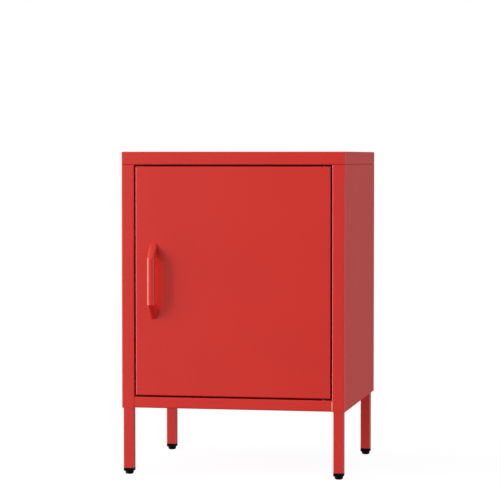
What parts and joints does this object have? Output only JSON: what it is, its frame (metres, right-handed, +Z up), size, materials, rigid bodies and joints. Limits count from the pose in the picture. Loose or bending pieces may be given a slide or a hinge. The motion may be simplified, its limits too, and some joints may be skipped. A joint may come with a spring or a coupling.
{
  "type": "steel door cabinet",
  "caption": "Small folded-steel cabinet with one inset door, a bow handle and an inner shelf, on square tube legs with levelling feet.",
  "frame": {"origin": "on the floor, under the middle of the whole outline, handle included", "axes": "+X to the right of somebody facing the door, +Y from the door to the back, +Z up"},
  "size_m": [0.45, 0.4568, 0.645],
  "materials": {
    "red_powder_coat": "semi-matte fine powder coat",
    "black_plastic": "moulded",
    "zinc_plated_steel": "zinc plated",
    "spring_steel": "drawn wire",
    "blackened_steel": "black oxide",
    "white_nylon": "moulded nylon",
    "black_ferrite": "sintered ferrite",
    "black_rubber": "soft rubber"
  },
  "bodies": {
    "cabinet": {"top_panel": "red_powder_coat", "left_side_panel": "red_powder_coat", "right_side_panel": "red_powder_coat", "back_panel": "red_powder_coat", "bottom_panel": "red_powder_coat", "leg_front_left": "red_powder_coat", "leg_front_right": "red_powder_coat", "leg_rear_left": "red_powder_coat", "leg_rear_right": "red_powder_coat", "foot_cap_front_left": "black_plastic", "foot_cap_front_right": "black_plastic", "foot_cap_rear_left": "black_plastic", "foot_cap_rear_right": "black_plastic", "leg_bolts": "zinc_plated_steel", "leg_nuts": "zinc_plated_steel", "panel_screws": "zinc_plated_steel", "panel_nuts": "zinc_plated_steel", "back_screws": "zinc_plated_steel", "shelf_clips": "zinc_plated_steel", "lower_hinge_pin": "blackened_steel", "upper_hinge_bush": "black_plastic", "catch_case": "white_nylon", "catch_magnet": "black_ferrite", "catch_poles": "zinc_plated_steel", "catch_screws": "zinc_plated_steel", "door_bumpers": "black_rubber"},
    "door": {"door_panel": "red_powder_coat", "door_stiffener": "red_powder_coat", "handle": "red_powder_coat", "handle_screws": "zinc_plated_steel", "handle_washers": "zinc_plated_steel", "lower_hinge_bracket": "zinc_plated_steel", "upper_hinge_bracket": "zinc_plated_steel", "lower_hinge_bush": "black_plastic", "hinge_spring": "spring_steel", "strike_plate": "zinc_plated_steel", "strike_rivets": "zinc_plated_steel"},
    "spring_pin": {"upper_hinge_pin": "blackened_steel"},
    "shelf": {"shelf": "red_powder_coat"},
    "foot_front_left": {"foot_stud_front_left": "zinc_plated_steel", "foot_glide_front_left": "black_plastic"},
    "foot_front_right": {"foot_stud_front_right": "zinc_plated_steel", "foot_glide_front_right": "black_plastic"},
    "foot_rear_left": {"foot_stud_rear_left": "zinc_plated_steel", "foot_glide_rear_left": "black_plastic"},
    "foot_rear_right": {"foot_stud_rear_right": "zinc_plated_steel", "foot_glide_rear_right": "black_plastic"}
  },
  "joints": [
    {"name": "door_hinge", "type": "hinge", "parent": "cabinet", "child": "door", "pos_m": [0.1843, -0.1905, 0.1563], "axis": [0, 0, 1], "range_deg": [0, 110]},
    {"name": "spring_pin_slide", "type": "slide", "parent": "door", "child": "spring_pin", "axis": [0, 0, -1], "range_m": [0, 0.0085], "stiffness_N_per_m": 400, "springref_m": -0.005, "deforming": ["hinge_spring"]},
    {"name": "shelf_lift", "type": "slide", "parent": "cabinet", "child": "shelf", "axis": [0, 0, 1], "range_m": [0, 0.02]},
    {"name": "foot_screw_front_left", "type": "slide", "parent": "cabinet", "child": "foot_front_left", "axis": [0, 0, -1], "range_m": [0, 0.01]},
    {"name": "foot_screw_front_right", "type": "slide", "parent": "cabinet", "child": "foot_front_right", "axis": [0, 0, -1], "range_m": [0, 0.01]},
    {"name": "foot_screw_rear_left", "type": "slide", "parent": "cabinet", "child": "foot_rear_left", "axis": [0, 0, -1], "range_m": [0, 0.01]},
    {"name": "foot_screw_rear_right", "type": "slide", "parent": "cabinet", "child": "foot_rear_right", "axis": [0, 0, -1], "range_m": [0, 0.01]}
  ]
}
